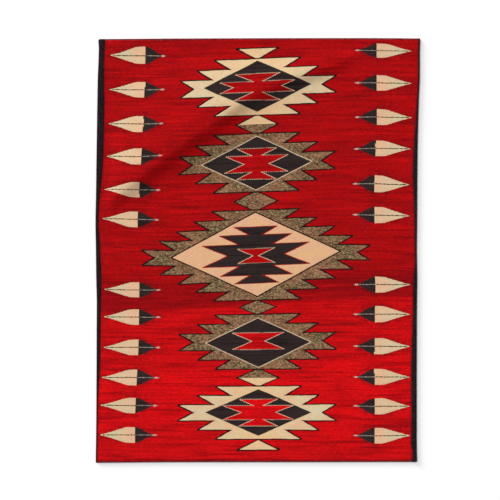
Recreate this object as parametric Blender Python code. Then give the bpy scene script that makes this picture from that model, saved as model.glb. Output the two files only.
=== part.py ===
# Tapestry-woven wool rug, lying flat on a floor with one soft diagonal ridge across its upper part.
# Metres, +Z up. +X runs across the rug and +Y along its length. The origin is on the floor, in the
# middle of the footprint.

import math
from bisect import bisect_right
from collections import namedtuple

import bpy
import bmesh
from mathutils import Vector
from mathutils.geometry import delaunay_2d_cdt

# Driving sizes
CLOTH_THICKNESS = 0.0040
CLOTH_ROUNDING = 0.0012
BINDING_THICKNESS = 0.0046
BINDING_ROUNDING = 0.0012
END_CORD_DIAMETER = 0.0044
CORNER_RADIUS = 0.0055
PIECE_GAP = 0.0003

# The wool's colours and finish
RED = (0.42, 0.007, 0.009)
BLACK = (0.028, 0.018, 0.016)
MAROON = (0.12, 0.008, 0.012)
WOOL_ROUGHNESS = 0.9

# Fineness of the solids
SIDE_STEP = 0.032
END_STEP = 0.075
CORNER_STEPS = 4
ROUNDING_STEPS = 3
RIDGE_STATIONS = 34
RIDGE_SAMPLES = 240
CUT_TOLERANCE = 1e-7

# The ridge dies out this far from the rug's edges, so the rim lies on the floor all round.
RIDGE_EDGE_EASE = 0.055
# No point of the ridge comes nearer than this to the cloth's outline.
RIDGE_EDGE_CLEARANCE = 0.012
# Where each flank has a row of points, as shares of its width: the lit side is negative.
RIDGE_FLANK_SHARES = (-1.0, -0.78, -0.56, -0.34, -0.15, 0.0, 0.22, 0.44, 0.66, 0.84, 1.0)

# The long sides, from one end to the other: each edge, and how far the black binding covers it.
Side = namedtuple("Side", "y left_edge left_binding right_edge right_binding")
SIDES = [
    Side(0.803, -0.6045, 0.0255, 0.6155, 0.0045),
    Side(0.767, -0.6025, 0.0210, 0.6140, 0.0045),
    Side(0.646, -0.6070, 0.0225, 0.6135, 0.0045),
    Side(0.585, -0.6080, 0.0250, 0.6105, 0.0050),
    Side(0.396, -0.6110, 0.0250, 0.6055, 0.0120),
    Side(0.289, -0.6125, 0.0210, 0.6045, 0.0165),
    Side(0.210, -0.6135, 0.0135, 0.6040, 0.0120),
    Side(0.104, -0.6155, 0.0105, 0.6035, 0.0085),
    Side(0.020, -0.6140, 0.0150, 0.6025, 0.0070),
    Side(-0.036, -0.6135, 0.0160, 0.6030, 0.0055),
    Side(-0.112, -0.6125, 0.0180, 0.6040, 0.0135),
    Side(-0.188, -0.6105, 0.0140, 0.6030, 0.0135),
    Side(-0.286, -0.6110, 0.0135, 0.6025, 0.0150),
    Side(-0.453, -0.6115, 0.0115, 0.6020, 0.0190),
    Side(-0.529, -0.6120, 0.0075, 0.6020, 0.0190),
    Side(-0.567, -0.6120, 0.0045, 0.6020, 0.0190),
    Side(-0.643, -0.6125, 0.0045, 0.6020, 0.0180),
    Side(-0.737, -0.6135, 0.0045, 0.6020, 0.0195),
    Side(-0.764, -0.6140, 0.0045, 0.6025, 0.0150),
    Side(-0.787, -0.6145, 0.0045, 0.6035, 0.0185),
    Side(-0.803, -0.6145, 0.0045, 0.6035, 0.0190),
]

# The two ends, from one long side to the other.
End = namedtuple("End", "x top bottom")
ENDS = [
    End(-0.605, 0.8010, -0.8050),
    End(-0.480, 0.8020, -0.8040),
    End(-0.360, 0.8030, -0.8030),
    End(-0.175, 0.8040, -0.8025),
    End(0.130, 0.8048, -0.8025),
    End(0.430, 0.8050, -0.8020),
    End(0.554, 0.8043, -0.8018),
    End(0.610, 0.8037, -0.8018),
]

# The crest of the ridge, from near the left side up to the top end, with its height over the floor
# and how far its two flanks reach.
Crest = namedtuple("Crest", "x y height lit_flank shaded_flank")
RIDGE = [
    Crest(-0.590, 0.150, 0.0000, 0.060, 0.040),
    Crest(-0.537, 0.205, 0.0060, 0.100, 0.048),
    Crest(-0.421, 0.300, 0.0115, 0.260, 0.054),
    Crest(-0.304, 0.391, 0.0130, 0.380, 0.055),
    Crest(-0.184, 0.470, 0.0130, 0.380, 0.054),
    Crest(-0.060, 0.562, 0.0120, 0.240, 0.048),
    Crest(0.100, 0.640, 0.0085, 0.130, 0.044),
    Crest(0.272, 0.699, 0.0055, 0.090, 0.042),
    Crest(0.400, 0.760, 0.0022, 0.045, 0.034),
    Crest(0.490, 0.784, 0.0000, 0.030, 0.026),
]


def wool(name, color):
    material = bpy.data.materials.new(name)
    material.use_nodes = True
    shader = material.node_tree.nodes["Principled BSDF"]
    shader.inputs["Base Color"].default_value = (*color, 1.0)
    shader.inputs["Roughness"].default_value = WOOL_ROUGHNESS
    shader.inputs["Metallic"].default_value = 0.0
    material.diffuse_color = (*color, 1.0)
    return material


# A smooth line through the points (position, value), as a function of the position.
def smooth_line(points):
    points = sorted(points)
    at = [point[0] for point in points]
    value = [point[1] for point in points]
    last = len(points) - 1
    slope = []
    for i in range(last + 1):
        before, after = max(i - 1, 0), min(i + 1, last)
        slope.append((value[after] - value[before]) / (at[after] - at[before]))

    def line(position):
        position = min(max(position, at[0]), at[-1])
        i = min(bisect_right(at, position) - 1, last - 1)
        span = at[i + 1] - at[i]
        t = (position - at[i]) / span
        rise = value[i + 1] - value[i]
        bend_in = slope[i] * span - rise
        bend_out = rise - slope[i + 1] * span
        return value[i] + t * rise + t * (1 - t) * ((1 - t) * bend_in + t * bend_out)

    return line


def add_piece(name, data, material):
    data.materials.append(material)
    piece = bpy.data.objects.new(name, data)
    bpy.context.scene.collection.objects.link(piece)


def column(rows, position, value):
    return smooth_line([(getattr(row, position), getattr(row, value)) for row in rows])


left_edge = column(SIDES, "y", "left_edge")
right_edge = column(SIDES, "y", "right_edge")
left_binding = column(SIDES, "y", "left_binding")
right_binding = column(SIDES, "y", "right_binding")
top_edge = column(ENDS, "x", "top")
bottom_edge = column(ENDS, "x", "bottom")


# The woven cloth reaches from one binding to the other, and from one end cord to the other.
def field_left(y):
    return left_edge(y) + left_binding(y) + PIECE_GAP


def field_right(y):
    return right_edge(y) - right_binding(y) - PIECE_GAP


def field_top(x):
    return top_edge(x) - END_CORD_DIAMETER - PIECE_GAP


def field_bottom(x):
    return bottom_edge(x) + END_CORD_DIAMETER + PIECE_GAP


def evenly(start, stop, step):
    count = max(1, round(abs(stop - start) / step))
    return [start + (stop - start) * i / count for i in range(count + 1)]


# The cloth's two corners on one side, as (x, y), the bottom one first: side is -1 or 1.
def field_corners(side):
    line = field_left if side < 0 else field_right
    corners = []
    for end_line in (field_bottom, field_top):
        y = end_line(line(end_line(0.0)))
        corners.append((line(y), y))
    return corners


# The stations along one side that the cloth and its binding share, from the bottom to the top.
def side_stations(side):
    (_, low), (_, high) = field_corners(side)
    return evenly(low, high, SIDE_STEP)


# The cloth's outline, anticlockwise from its bottom left corner.
def field_outline():
    bottom_left, top_left = field_corners(-1)
    bottom_right, top_right = field_corners(1)
    bottom = [(x, field_bottom(x)) for x in evenly(bottom_left[0], bottom_right[0], END_STEP)]
    right = [(field_right(y), y) for y in side_stations(1)]
    top = [(x, field_top(x)) for x in evenly(top_right[0], top_left[0], END_STEP)]
    left = [(field_left(y), y) for y in side_stations(-1)[::-1]]
    return bottom[:-1] + right[:-1] + top[:-1] + left[:-1]


# A quarter circle at a corner of the rug, from its side round to its end.
def corner(corner_x, corner_y, side, end, radius):
    center_x = corner_x - side * radius
    center_y = corner_y - end * radius
    turns = [math.pi / 2 * i / CORNER_STEPS for i in range(CORNER_STEPS + 1)]
    return [
        (center_x + side * radius * math.cos(turn), center_y + end * radius * math.sin(turn))
        for turn in turns
    ]


# The outline of one side's binding, anticlockwise: side is -1 on the left and 1 on the right.
# It runs past the cloth to the rug's own corners, rounded as far as its width there allows.
def binding_outline(side):
    edge, width = (left_edge, left_binding) if side < 0 else (right_edge, right_binding)
    stations = side_stations(side)
    low, high = bottom_edge(edge(stations[0])), top_edge(edge(stations[-1]))
    loop = corner(edge(low), low, side, -1, min(CORNER_RADIUS, width(low) / 2))[::-1]
    loop += [(edge(y), y) for y in stations[1:-1]]
    loop += corner(edge(high), high, side, 1, min(CORNER_RADIUS, width(high) / 2))
    loop += [(edge(y) - side * width(y), y) for y in [high] + stations[::-1] + [low]]
    return loop if side > 0 else loop[::-1]


# The crest as smooth lines against the distance along it, sampled finely.
def ridge_samples():
    run = [0.0]
    for a, b in zip(RIDGE, RIDGE[1:]):
        run.append(run[-1] + math.hypot(b.x - a.x, b.y - a.y))
    lines = {name: smooth_line([(r, getattr(row, name)) for r, row in zip(run, RIDGE)])
             for name in Crest._fields}
    samples = []
    for i in range(RIDGE_SAMPLES + 1):
        distance = run[-1] * i / RIDGE_SAMPLES
        samples.append(Crest(*(lines[name](distance) for name in Crest._fields)))
    return samples


RIDGE_LINE = ridge_samples()


# The direction across the ridge at one sample, towards its shaded side.
def across_ridge(i):
    before = RIDGE_LINE[max(i - 1, 0)]
    after = RIDGE_LINE[min(i + 1, RIDGE_SAMPLES)]
    along = Vector((after.x - before.x, after.y - before.y)).normalized()
    return Vector((along.y, -along.x))


def edge_room(x, y):
    return min(x - field_left(y), field_right(y) - x, field_top(x) - y, y - field_bottom(x))


# How high the cloth's underside stands over the floor.
def ridge_height(x, y):
    nearest = min(range(RIDGE_SAMPLES + 1),
                  key=lambda i: (RIDGE_LINE[i].x - x) ** 2 + (RIDGE_LINE[i].y - y) ** 2)
    crest = RIDGE_LINE[nearest]
    offset = Vector((x - crest.x, y - crest.y))
    shaded = offset.dot(across_ridge(nearest)) > 0
    share = min(1.0, offset.length / (crest.shaded_flank if shaded else crest.lit_flank))
    ease = min(1.0, max(0.0, edge_room(x, y) / RIDGE_EDGE_EASE))
    flank = 0.5 + 0.5 * math.cos(math.pi * share)
    return max(0.0, crest.height) * flank * ease * ease * (3 - 2 * ease)


# Rows of points across the ridge, close together where it is steep.
def ridge_points():
    points = []
    for station in range(RIDGE_STATIONS + 1):
        i = round(station * RIDGE_SAMPLES / RIDGE_STATIONS)
        crest = RIDGE_LINE[i]
        across = across_ridge(i)
        for share in RIDGE_FLANK_SHARES:
            flank = crest.shaded_flank if share > 0 else crest.lit_flank
            x = crest.x + across.x * share * flank
            y = crest.y + across.y * share * flank
            if edge_room(x, y) > RIDGE_EDGE_CLEARANCE:
                points.append((x, y))
    return points


# The outline drawn in by a distance, with its corners mitred.
def inset(outline, distance):
    result = []
    for i, point in enumerate(outline):
        here = Vector(point)
        back = (here - Vector(outline[i - 1])).normalized()
        ahead = (Vector(outline[(i + 1) % len(outline)]) - here).normalized()
        inward = Vector((-back.y - ahead.y, back.x + ahead.x)).normalized()
        mitre = inward.dot(Vector((-back.y, back.x)))
        result.append(here + inward * (distance / mitre))
    return result


def flat(x, y):
    return 0.0


# A sheet of even thickness with a rounded rim. Its underside stands at height(x, y).
def sheet(name, outline, thickness, rounding, material, height=flat, inner_points=()):
    face_edge = inset(outline, rounding)
    count = len(face_edge)
    points = face_edge + [Vector(point) for point in inner_points]
    cut = delaunay_2d_cdt(points, [], [list(range(count))], 1, CUT_TOLERANCE)
    flat_points, triangles = cut[0], cut[2]
    if len(flat_points) != len(points):
        raise ValueError(name + ": two points of the sheet fall together")

    mesh = bmesh.new()
    heights = [height(x, y) for x, y in flat_points]
    under = [mesh.verts.new((p.x, p.y, h)) for p, h in zip(flat_points, heights)]
    over = [mesh.verts.new((p.x, p.y, h + thickness)) for p, h in zip(flat_points, heights)]
    for a, b, c in triangles:
        mesh.faces.new((under[c], under[b], under[a]))
        mesh.faces.new((over[a], over[b], over[c]))

    # The rim's rings, from the underside's edge round to the top's.
    turns = [math.pi / 2 * i / ROUNDING_STEPS for i in range(1, ROUNDING_STEPS + 1)]
    lower = [(rounding * (1 - math.sin(turn)), rounding * (1 - math.cos(turn))) for turn in turns]
    upper = [(draw_in, thickness - z) for draw_in, z in reversed(lower)]
    rings = [under[:count]]
    for draw_in, z in lower + upper:
        rings.append([mesh.verts.new((p.x, p.y, z)) for p in inset(outline, draw_in)])
    rings.append(over[:count])
    for low, high in zip(rings, rings[1:]):
        for i in range(count):
            j = (i + 1) % count
            mesh.faces.new((low[i], low[j], high[j], high[i]))
    data = bpy.data.meshes.new(name)
    mesh.to_mesh(data)
    mesh.free()
    data.shade_smooth()
    add_piece(name, data, material)


# A round cord along one end of the rug, from binding to binding, on the floor.
def end_cord(name, edge, inward, material):
    radius = END_CORD_DIAMETER / 2
    middle = edge(0.0) + inward * radius
    start = field_left(middle)
    stop = field_right(middle)
    curve = bpy.data.curves.new(name, "CURVE")
    curve.dimensions = "3D"
    curve.bevel_depth = radius
    curve.bevel_resolution = 2
    curve.use_fill_caps = True
    spline = curve.splines.new("POLY")
    stations = evenly(start, stop, END_STEP)
    spline.points.add(len(stations) - 1)
    for point, x in zip(spline.points, stations):
        point.co = (x, edge(x) + inward * radius, radius, 1.0)
    add_piece(name, curve, material)


for old in list(bpy.data.objects):
    bpy.data.objects.remove(old, do_unlink=True)

sheet("woven_field", field_outline(), CLOTH_THICKNESS, CLOTH_ROUNDING,
      wool("field_wool", RED), ridge_height, ridge_points())
sheet("left_side_binding", binding_outline(-1), BINDING_THICKNESS, BINDING_ROUNDING,
      wool("left_binding_wool", BLACK))
sheet("right_side_binding", binding_outline(1), BINDING_THICKNESS, BINDING_ROUNDING,
      wool("right_binding_wool", BLACK))
end_cord("top_end_cord", top_edge, -1, wool("top_cord_wool", MAROON))
end_cord("bottom_end_cord", bottom_edge, 1, wool("bottom_cord_wool", MAROON))
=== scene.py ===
import math

import bmesh
import bpy
import numpy as np
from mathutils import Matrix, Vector
from mathutils.bvhtree import BVHTree


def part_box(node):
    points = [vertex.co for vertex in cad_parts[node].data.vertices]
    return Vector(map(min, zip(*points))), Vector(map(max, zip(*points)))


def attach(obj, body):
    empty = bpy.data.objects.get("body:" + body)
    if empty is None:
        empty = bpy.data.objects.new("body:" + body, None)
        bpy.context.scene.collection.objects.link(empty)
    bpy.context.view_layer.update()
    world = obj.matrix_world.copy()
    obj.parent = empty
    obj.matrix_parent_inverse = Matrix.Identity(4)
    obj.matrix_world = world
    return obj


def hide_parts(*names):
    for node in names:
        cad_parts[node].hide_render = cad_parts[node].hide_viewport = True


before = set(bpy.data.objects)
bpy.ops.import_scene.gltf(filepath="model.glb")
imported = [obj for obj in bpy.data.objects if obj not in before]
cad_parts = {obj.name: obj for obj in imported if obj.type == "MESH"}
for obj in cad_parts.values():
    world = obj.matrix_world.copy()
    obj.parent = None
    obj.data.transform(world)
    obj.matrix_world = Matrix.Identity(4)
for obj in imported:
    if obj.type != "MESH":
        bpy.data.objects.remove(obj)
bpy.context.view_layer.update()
print("frame loaded:", ", ".join(sorted(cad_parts)))


def addObject(name, data):
    made = bpy.data.objects.new(name, data)
    bpy.context.scene.collection.objects.link(made)
    return made



# Camera: straight down on the rug, as a print of it is photographed.
cameraSettings = {
    "center": (-0.0296, 0.0015),
    "frameWidth": 1.8945,  # metres of floor across the picture
    "lens": 85.0,
    "sensor": 36.0,
    "clothTop": 0.004,
}


def makeCamera(settings):
    data = bpy.data.cameras.new("camera")
    data.lens = settings["lens"]
    data.sensor_width = settings["sensor"]
    camera = addObject("camera", data)
    distance = settings["frameWidth"] * settings["lens"] / settings["sensor"]
    camera.location = (*settings["center"], settings["clothTop"] + distance)
    bpy.context.scene.camera = camera


makeCamera(cameraSettings)

# Light: a wide soft key and a low raking fill from the upper left, in a bright white room.
lightSettings = {
    "room": 0.36,
    "suns": [
        # name, elevation and azimuth in degrees, strength, angular size in degrees
        ("key", 36.0, 132.0, 2.85, 42.0),
        ("rake", 7.5, 135.0, 5.60, 11.0),
    ],
}


def makeLight(settings):
    world = bpy.data.worlds.new("whiteRoom")
    world.use_nodes = True
    sky = world.node_tree.nodes["Background"]
    sky.inputs["Color"].default_value = (1.0, 1.0, 1.0, 1.0)
    sky.inputs["Strength"].default_value = settings["room"]
    bpy.context.scene.world = world
    for name, elevation, azimuth, strength, size in settings["suns"]:
        data = bpy.data.lights.new(name, "SUN")
        data.energy = strength
        data.angle = math.radians(size)
        sun = addObject(name, data)
        rise, turn = math.radians(elevation), math.radians(azimuth)
        toSun = Vector((math.cos(rise) * math.cos(turn), math.cos(rise) * math.sin(turn), math.sin(rise)))
        sun.rotation_euler = (-toSun).to_track_quat("-Z", "Y").to_euler()
        sun.location = toSun * 3
    bpy.context.scene.view_settings.view_transform = "Standard"


makeLight(lightSettings)
print("camera and light set")


# Small helpers for building node trees.
class Wire:
    # One value in a node tree. Sums, products and comparisons of wires become Math nodes.
    def __init__(self, tree, socket):
        self.tree = tree
        self.socket = socket

    def __add__(self, other):
        return calc(self.tree, "ADD", self, other)

    def __radd__(self, other):
        return calc(self.tree, "ADD", other, self)

    def __sub__(self, other):
        return calc(self.tree, "SUBTRACT", self, other)

    def __rsub__(self, other):
        return calc(self.tree, "SUBTRACT", other, self)

    def __mul__(self, other):
        return calc(self.tree, "MULTIPLY", self, other)

    def __truediv__(self, other):
        return calc(self.tree, "DIVIDE", self, other)

    def __lt__(self, other):
        return calc(self.tree, "LESS_THAN", self, other)

    def __gt__(self, other):
        return calc(self.tree, "GREATER_THAN", self, other)


def feed(tree, socket, value):
    if isinstance(value, Wire):
        value = value.socket
    if isinstance(value, bpy.types.NodeSocket):
        tree.links.new(value, socket)
    else:
        socket.default_value = value


def addNode(tree, kind, feeds=None, **settings):
    made = tree.nodes.new(kind)
    for key, value in settings.items():
        setattr(made, key, value)
    for key, value in (feeds or {}).items():
        feed(tree, made.inputs[key], value)
    count = len(tree.nodes)
    made.location = (count % 14 * 190, -(count // 14) * 260)
    return made


def calc(tree, operation, *values, clamp=False):
    made = addNode(tree, "ShaderNodeMath", dict(enumerate(values)), operation=operation, use_clamp=clamp)
    return Wire(tree, made.outputs[0])


def largest(first, *others):
    for other in others:
        first = calc(first.tree, "MAXIMUM", first, other)
    return first


def smallest(first, *others):
    for other in others:
        first = calc(first.tree, "MINIMUM", first, other)
    return first


def distanceTo(value, center):
    return calc(value.tree, "ABSOLUTE", value - center)


def vectorOf(tree, x, y, z=0.0):
    return Wire(tree, addNode(tree, "ShaderNodeCombineXYZ", {0: x, 1: y, 2: z}).outputs[0])


def clamped(value, slope, offset):
    return calc(value.tree, "MULTIPLY_ADD", value, slope, offset, clamp=True)


def paint(mask, below, above):
    made = addNode(mask.tree, "ShaderNodeMix", {0: mask, 6: below, 7: above}, data_type="RGBA")
    return Wire(mask.tree, made.outputs[2])


def toned(color, tone):
    tones = vectorOf(color.tree, tone, tone, tone)
    made = addNode(color.tree, "ShaderNodeMix", {0: 1.0, 6: color, 7: tones}, data_type="RGBA",
                   blend_type="MULTIPLY")
    return Wire(color.tree, made.outputs[2])


def between(mask, low, high):
    made = addNode(mask.tree, "ShaderNodeMix", {0: mask, 2: low, 3: high}, data_type="FLOAT")
    return Wire(mask.tree, made.outputs[0])


def noise(tree, place, scale, detail=2.0, roughness=0.5, output="Fac"):
    made = addNode(
        tree, "ShaderNodeTexNoise",
        {"Vector": place, "Scale": scale, "Detail": detail, "Roughness": roughness},
        noise_dimensions="3D",
    )
    return Wire(tree, made.outputs[output])


def grainOf(tree, place, output="Value"):
    made = addNode(tree, "ShaderNodeTexWhiteNoise", {"Vector": place}, noise_dimensions="3D")
    return Wire(tree, made.outputs[output])


def startGroup(name, inputs, outputs, kind="ShaderNodeTree"):
    tree = bpy.data.node_groups.new(name, kind)
    for label, socketKind, value in inputs:
        socket = tree.interface.new_socket(name=label, in_out="INPUT", socket_type="NodeSocket" + socketKind)
        if value is not None:
            socket.default_value = value
    for label, socketKind in outputs:
        tree.interface.new_socket(name=label, in_out="OUTPUT", socket_type="NodeSocket" + socketKind)
    entry = tree.nodes.new("NodeGroupInput")
    return tree, {label: Wire(tree, entry.outputs[label]) for label, _, _ in inputs}


def endGroup(tree, **results):
    leave = tree.nodes.new("NodeGroupOutput")
    leave.location = (14 * 190, 0)
    for socket in leave.inputs:
        if socket.name in results:
            feed(tree, socket, results[socket.name])
    return tree


def place(tree, group, feeds):
    made = addNode(tree, "ShaderNodeGroup")
    made.node_tree = group
    for key, value in feeds.items():
        feed(tree, made.inputs[key], value)
    return {socket.name: Wire(tree, socket) for socket in made.outputs}


def dye(code):
    # A colour written as on a yarn card, in hex, to Blender's linear values.
    parts = [int(code[i:i + 2], 16) / 255 for i in (0, 2, 4)]
    linear = [part / 12.92 if part <= 0.04045 else ((part + 0.055) / 1.055) ** 2.4 for part in parts]
    return (*linear, 1.0)


# The weave shared by all the wool: beads of weft over warps, half a bead apart in neighbouring columns.
def makeWeaveGroup():
    tree, given = startGroup(
        "weftBeads",
        [("Across", "Float", 0.0), ("Along", "Float", 0.0), ("Warp Pitch", "Float", 0.0033),
         ("Bead Height", "Float", 0.0014)],
        [("Across", "Float"), ("Along", "Float"), ("Relief", "Float"), ("Bead", "Float"),
         ("Odd Warp", "Float")],
    )
    column = given["Across"] / given["Warp Pitch"]
    warp = calc(tree, "FLOOR", column)
    oddWarp = calc(tree, "FLOORED_MODULO", warp, 2.0)
    row = given["Along"] / given["Bead Height"] + oddWarp * 0.5
    weft = calc(tree, "FLOOR", row)
    acrossBead = (column - warp) * 2.0 - 1.0
    alongBead = (row - weft) * 2.0 - 1.0
    rib = 1.0 - acrossBead * acrossBead
    bead = 1.0 - alongBead * alongBead
    return endGroup(
        tree,
        Across=(warp + 0.5) * given["Warp Pitch"],
        Along=(weft + 0.5 - oddWarp * 0.5) * given["Bead Height"],
        Relief=calc(tree, "SQRT", rib) * 0.6 + rib * bead * 0.4,
        Bead=grainOf(tree, vectorOf(tree, warp, weft)),
        **{"Odd Warp": oddWarp},
    )


# Streaks of yarn along the weft: one dye lot and one twist after another, never quite alike.
def makeStreakGroup():
    tree, given = startGroup(
        "yarnStreaks",
        [("Across", "Float", 0.0), ("Along", "Float", 0.0), ("Length", "Float", 0.22),
         ("Width", "Float", 0.0085), ("Bead", "Float", 0.5), ("Bead Share", "Float", 0.12)],
        [("Streak", "Float"), ("Broad", "Float")],
    )
    fine = noise(tree, vectorOf(tree, given["Across"] / given["Length"], given["Along"] / given["Width"],
                                3.7), 1.0, 3.0, 0.6)
    broad = noise(tree, vectorOf(tree, given["Across"] / given["Length"] * 0.45,
                                 given["Along"] / given["Width"] * 0.13, 9.1), 1.0, 2.0, 0.55)
    patch = noise(tree, vectorOf(tree, given["Across"] / given["Length"] * 1.3,
                                 given["Along"] / given["Width"] * 0.16, 23.0), 1.0, 1.0, 0.5)
    swing = clamped(patch, 3.4, -1.2) * 1.2 + 0.5
    streak = (fine - 0.5) * swing + 0.5 + (given["Bead"] - 0.5) * given["Bead Share"]
    return endGroup(tree, Streak=clamped(streak, 1.0, 0.0), Broad=broad)


# Grey wool carded from several fleeces: each tuft keeps its own colour.
def makeHeatherGroup():
    tree, given = startGroup(
        "heather",
        [("Across", "Float", 0.0), ("Along", "Float", 0.0), ("Tuft", "Float", 0.0045), ("Bead", "Float", 0.5),
         ("Dark", "Color", None), ("Brown", "Color", None), ("Rose", "Color", None), ("Olive", "Color", None),
         ("Pale", "Color", None)],
        [("Color", "Color")],
    )
    across, along = given["Across"] / given["Tuft"], given["Along"] / given["Tuft"]
    tuft = noise(tree, vectorOf(tree, across * 0.7, along * 1.1, 5.3), 1.0, 2.0, 0.65)
    batch = noise(tree, vectorOf(tree, across * 0.06, along * 0.1, 41.0), 1.0, 2.0, 0.5)
    other = noise(tree, vectorOf(tree, across * 0.4, along * 0.6, 17.0), 1.0, 1.0, 0.5) * 0.5 + batch * 0.5
    warm = clamped(other, 6.0, -2.5)
    color = paint(warm, given["Olive"], given["Rose"])
    plain = clamped(calc(tree, "ABSOLUTE", other - 0.5), -9.0, 1.0)
    color = paint(plain, color, given["Brown"])
    grained = tuft + (given["Bead"] - 0.5) * 0.16
    color = paint(clamped(grained, 5.0, -2.65) * 0.8, color, given["Pale"])
    shade = clamped(grained + (batch - 0.5) * 0.4, -5.2, 2.75) * 0.8
    return endGroup(tree, Color=paint(shade, color, given["Dark"]))


# One row of teeth after another from the diamond's middle: each tooth widens to a tip, then steps back.
teethInputs = [("A", "Float", 0.0), ("B", "Float", 0.0), ("Rows", "Float", 3.0),
               ("First Row", "Float", 0.028), ("Row Height", "Float", 0.035), ("Tip", "Float", 0.3),
               ("Step", "Float", 0.067), ("Run", "Float", 0.065)]


def makeTeethGroup():
    tree, given = startGroup("teethRows", teethInputs, [("Inside", "Float")])
    along = (given["B"] + given["Row Height"] - given["First Row"]) / given["Row Height"]
    row = calc(tree, "FLOOR", along)
    halfWidth = given["Tip"] - row * given["Step"] - given["Run"] * (1.0 - (along - row))
    return endGroup(tree, Inside=(given["A"] < halfWidth) * (along < given["Rows"]))


def makeSerrationGroup(teeth):
    inputs = teethInputs + [("Edge Across", "Float", 0.005), ("Edge Along", "Float", 0.003)]
    tree, given = startGroup("serration", inputs, [("Fill", "Float"), ("Edge", "Float")])
    same = {label: given[label] for label in ("Rows", "First Row", "Row Height", "Tip", "Step", "Run")}
    narrowed = given["A"] - given["Edge Across"]
    lowered = largest(given["B"] - given["Edge Along"], 0.0)
    fill = place(tree, teeth, {"A": given["A"], "B": given["B"], **same})["Inside"]
    beside = place(tree, teeth, {"A": narrowed, "B": given["B"], **same})["Inside"]
    beyond = place(tree, teeth, {"A": narrowed, "B": lowered, **same})["Inside"]
    return endGroup(tree, Fill=fill, Edge=largest(beside, beyond))


def makeRhombusGroup():
    tree, given = startGroup(
        "rhombus",
        [("A", "Float", 0.0), ("B", "Float", 0.0), ("Half Width", "Float", 0.2),
         ("Half Height", "Float", 0.1), ("Edge Across", "Float", 0.005)],
        [("Fill", "Float"), ("Edge", "Float")],
    )
    reach = given["A"] / given["Half Width"] + given["B"] / given["Half Height"]
    limit = 1.0 + given["Edge Across"] / given["Half Width"]
    return endGroup(tree, Fill=reach < 1.0, Edge=reach < limit)


# A band of the middle figure: mirrored above and below, with slanting ends.
def makeTierGroup():
    tree, given = startGroup(
        "tier",
        [("A", "Float", 0.0), ("B", "Float", 0.0), ("From", "Float", 0.0), ("To", "Float", 0.02),
         ("Inner Width", "Float", 0.02), ("Outer Width", "Float", 0.1),
         ("Edge Across", "Float", 0.004), ("Edge Along", "Float", 0.002), ("Dash", "Float", 1.0)],
        [("Fill", "Float"), ("Edge", "Float")],
    )
    share = calc(tree, "DIVIDE", given["B"] - given["From"], given["To"] - given["From"], clamp=True)
    halfWidth = given["Inner Width"] + (given["Outer Width"] - given["Inner Width"]) * share
    band = (given["B"] > given["From"] - 0.0001) * (given["B"] < given["To"])
    edgeAlong = given["Edge Along"]
    nearBand = (given["B"] > given["From"] - edgeAlong) * (given["B"] < given["To"] + edgeAlong)
    flatEdge = (nearBand - band) * given["Dash"]
    return endGroup(tree, Fill=band * (given["A"] < halfWidth),
                    Edge=largest(band, flatEdge) * (given["A"] < halfWidth + given["Edge Across"]))


featherSettings = {
    "outerTip": 0.5775,
    "darkFrom": 0.4445,
    "darkTo": 0.3810,
    "quillTip": 0.3630,
    "halfHeight": 0.0300,
    # share of the way from the outer tip to the quill's tip, share of the half height
    "outline": [(0.0, 0.02), (0.10, 0.19), (0.20, 0.40), (0.30, 0.63), (0.38, 0.81), (0.44, 0.94),
                (0.50, 0.99), (0.63, 1.0), (0.66, 0.95), (0.72, 0.78), (0.79, 0.52), (0.86, 0.26),
                (0.91, 0.08), (1.0, 0.0)],
    "quillHalfHeight": 0.0030,
    "rib": 0.0015,
    "haloReach": 0.024,
    "rows": [0.7482, 0.6214, 0.4920, 0.3713, 0.2404, 0.1256,
             -0.1396, -0.2470, -0.3655, -0.4805, -0.5889, -0.7010],
}


def makeFeatherGroup(settings):
    tree, given = startGroup(
        "feather",
        [("A", "Float", 0.0), ("B", "Float", 0.0), ("Rib", "Float", 0.001), ("Dash", "Float", 1.0)],
        [("Light", "Float"), ("Dark", "Float"), ("Quill", "Float"), ("Dark Rib", "Float"),
         ("Pale Rib", "Float"), ("From Tip", "Float"), ("Halo", "Float")],
    )
    length = settings["outerTip"] - settings["quillTip"]
    share = (settings["outerTip"] - given["A"]) / length
    curve = addNode(tree, "ShaderNodeFloatCurve", {"Value": share})
    line = curve.mapping.curves[0]
    outline = settings["outline"]
    line.points[0].location = outline[0]
    line.points[1].location = outline[-1]
    for point in outline[1:-1]:
        line.points.new(*point)
    for point in line.points:
        point.handle_type = "VECTOR"
    curve.mapping.update()
    inside = (share > 0.0) * (share < 1.0)
    bodyHeight = Wire(tree, curve.outputs[0]) * settings["halfHeight"]
    body = (given["B"] < bodyHeight) * inside
    beside = clamped(given["B"] - bodyHeight, -1 / settings["haloReach"], 1.0)
    along = clamped(distanceTo(share, 0.48), -8.0, 4.8)
    dark = given["A"] < settings["darkFrom"]
    quillFrom = settings["darkTo"] + 0.003
    quillMiddle = (quillFrom + settings["quillTip"]) / 2
    quillHalfLength = (quillFrom - settings["quillTip"]) / 2
    leaf = 1.0 - distanceTo(given["A"], quillMiddle) / quillHalfLength
    quill = given["B"] < leaf * settings["quillHalfHeight"] * 1.5
    quill = quill * (given["B"] < settings["quillHalfHeight"]) * (leaf > 0.0)
    ribHalf = given["Rib"] * (given["Dash"] * 0.8 + 0.55)
    rib = (given["B"] < ribHalf) * (share > 0.04)
    paleRib = (given["B"] < ribHalf * 0.8) * dark * (given["A"] > settings["quillTip"])
    return endGroup(
        tree,
        Light=body * (1.0 - dark),
        Dark=body * dark,
        Quill=quill,
        **{"Dark Rib": rib * (given["A"] > settings["darkFrom"]) * inside,
           "Pale Rib": paleRib,
           "From Tip": share,
           "Halo": beside * along * (1.0 - body)},
    )


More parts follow.
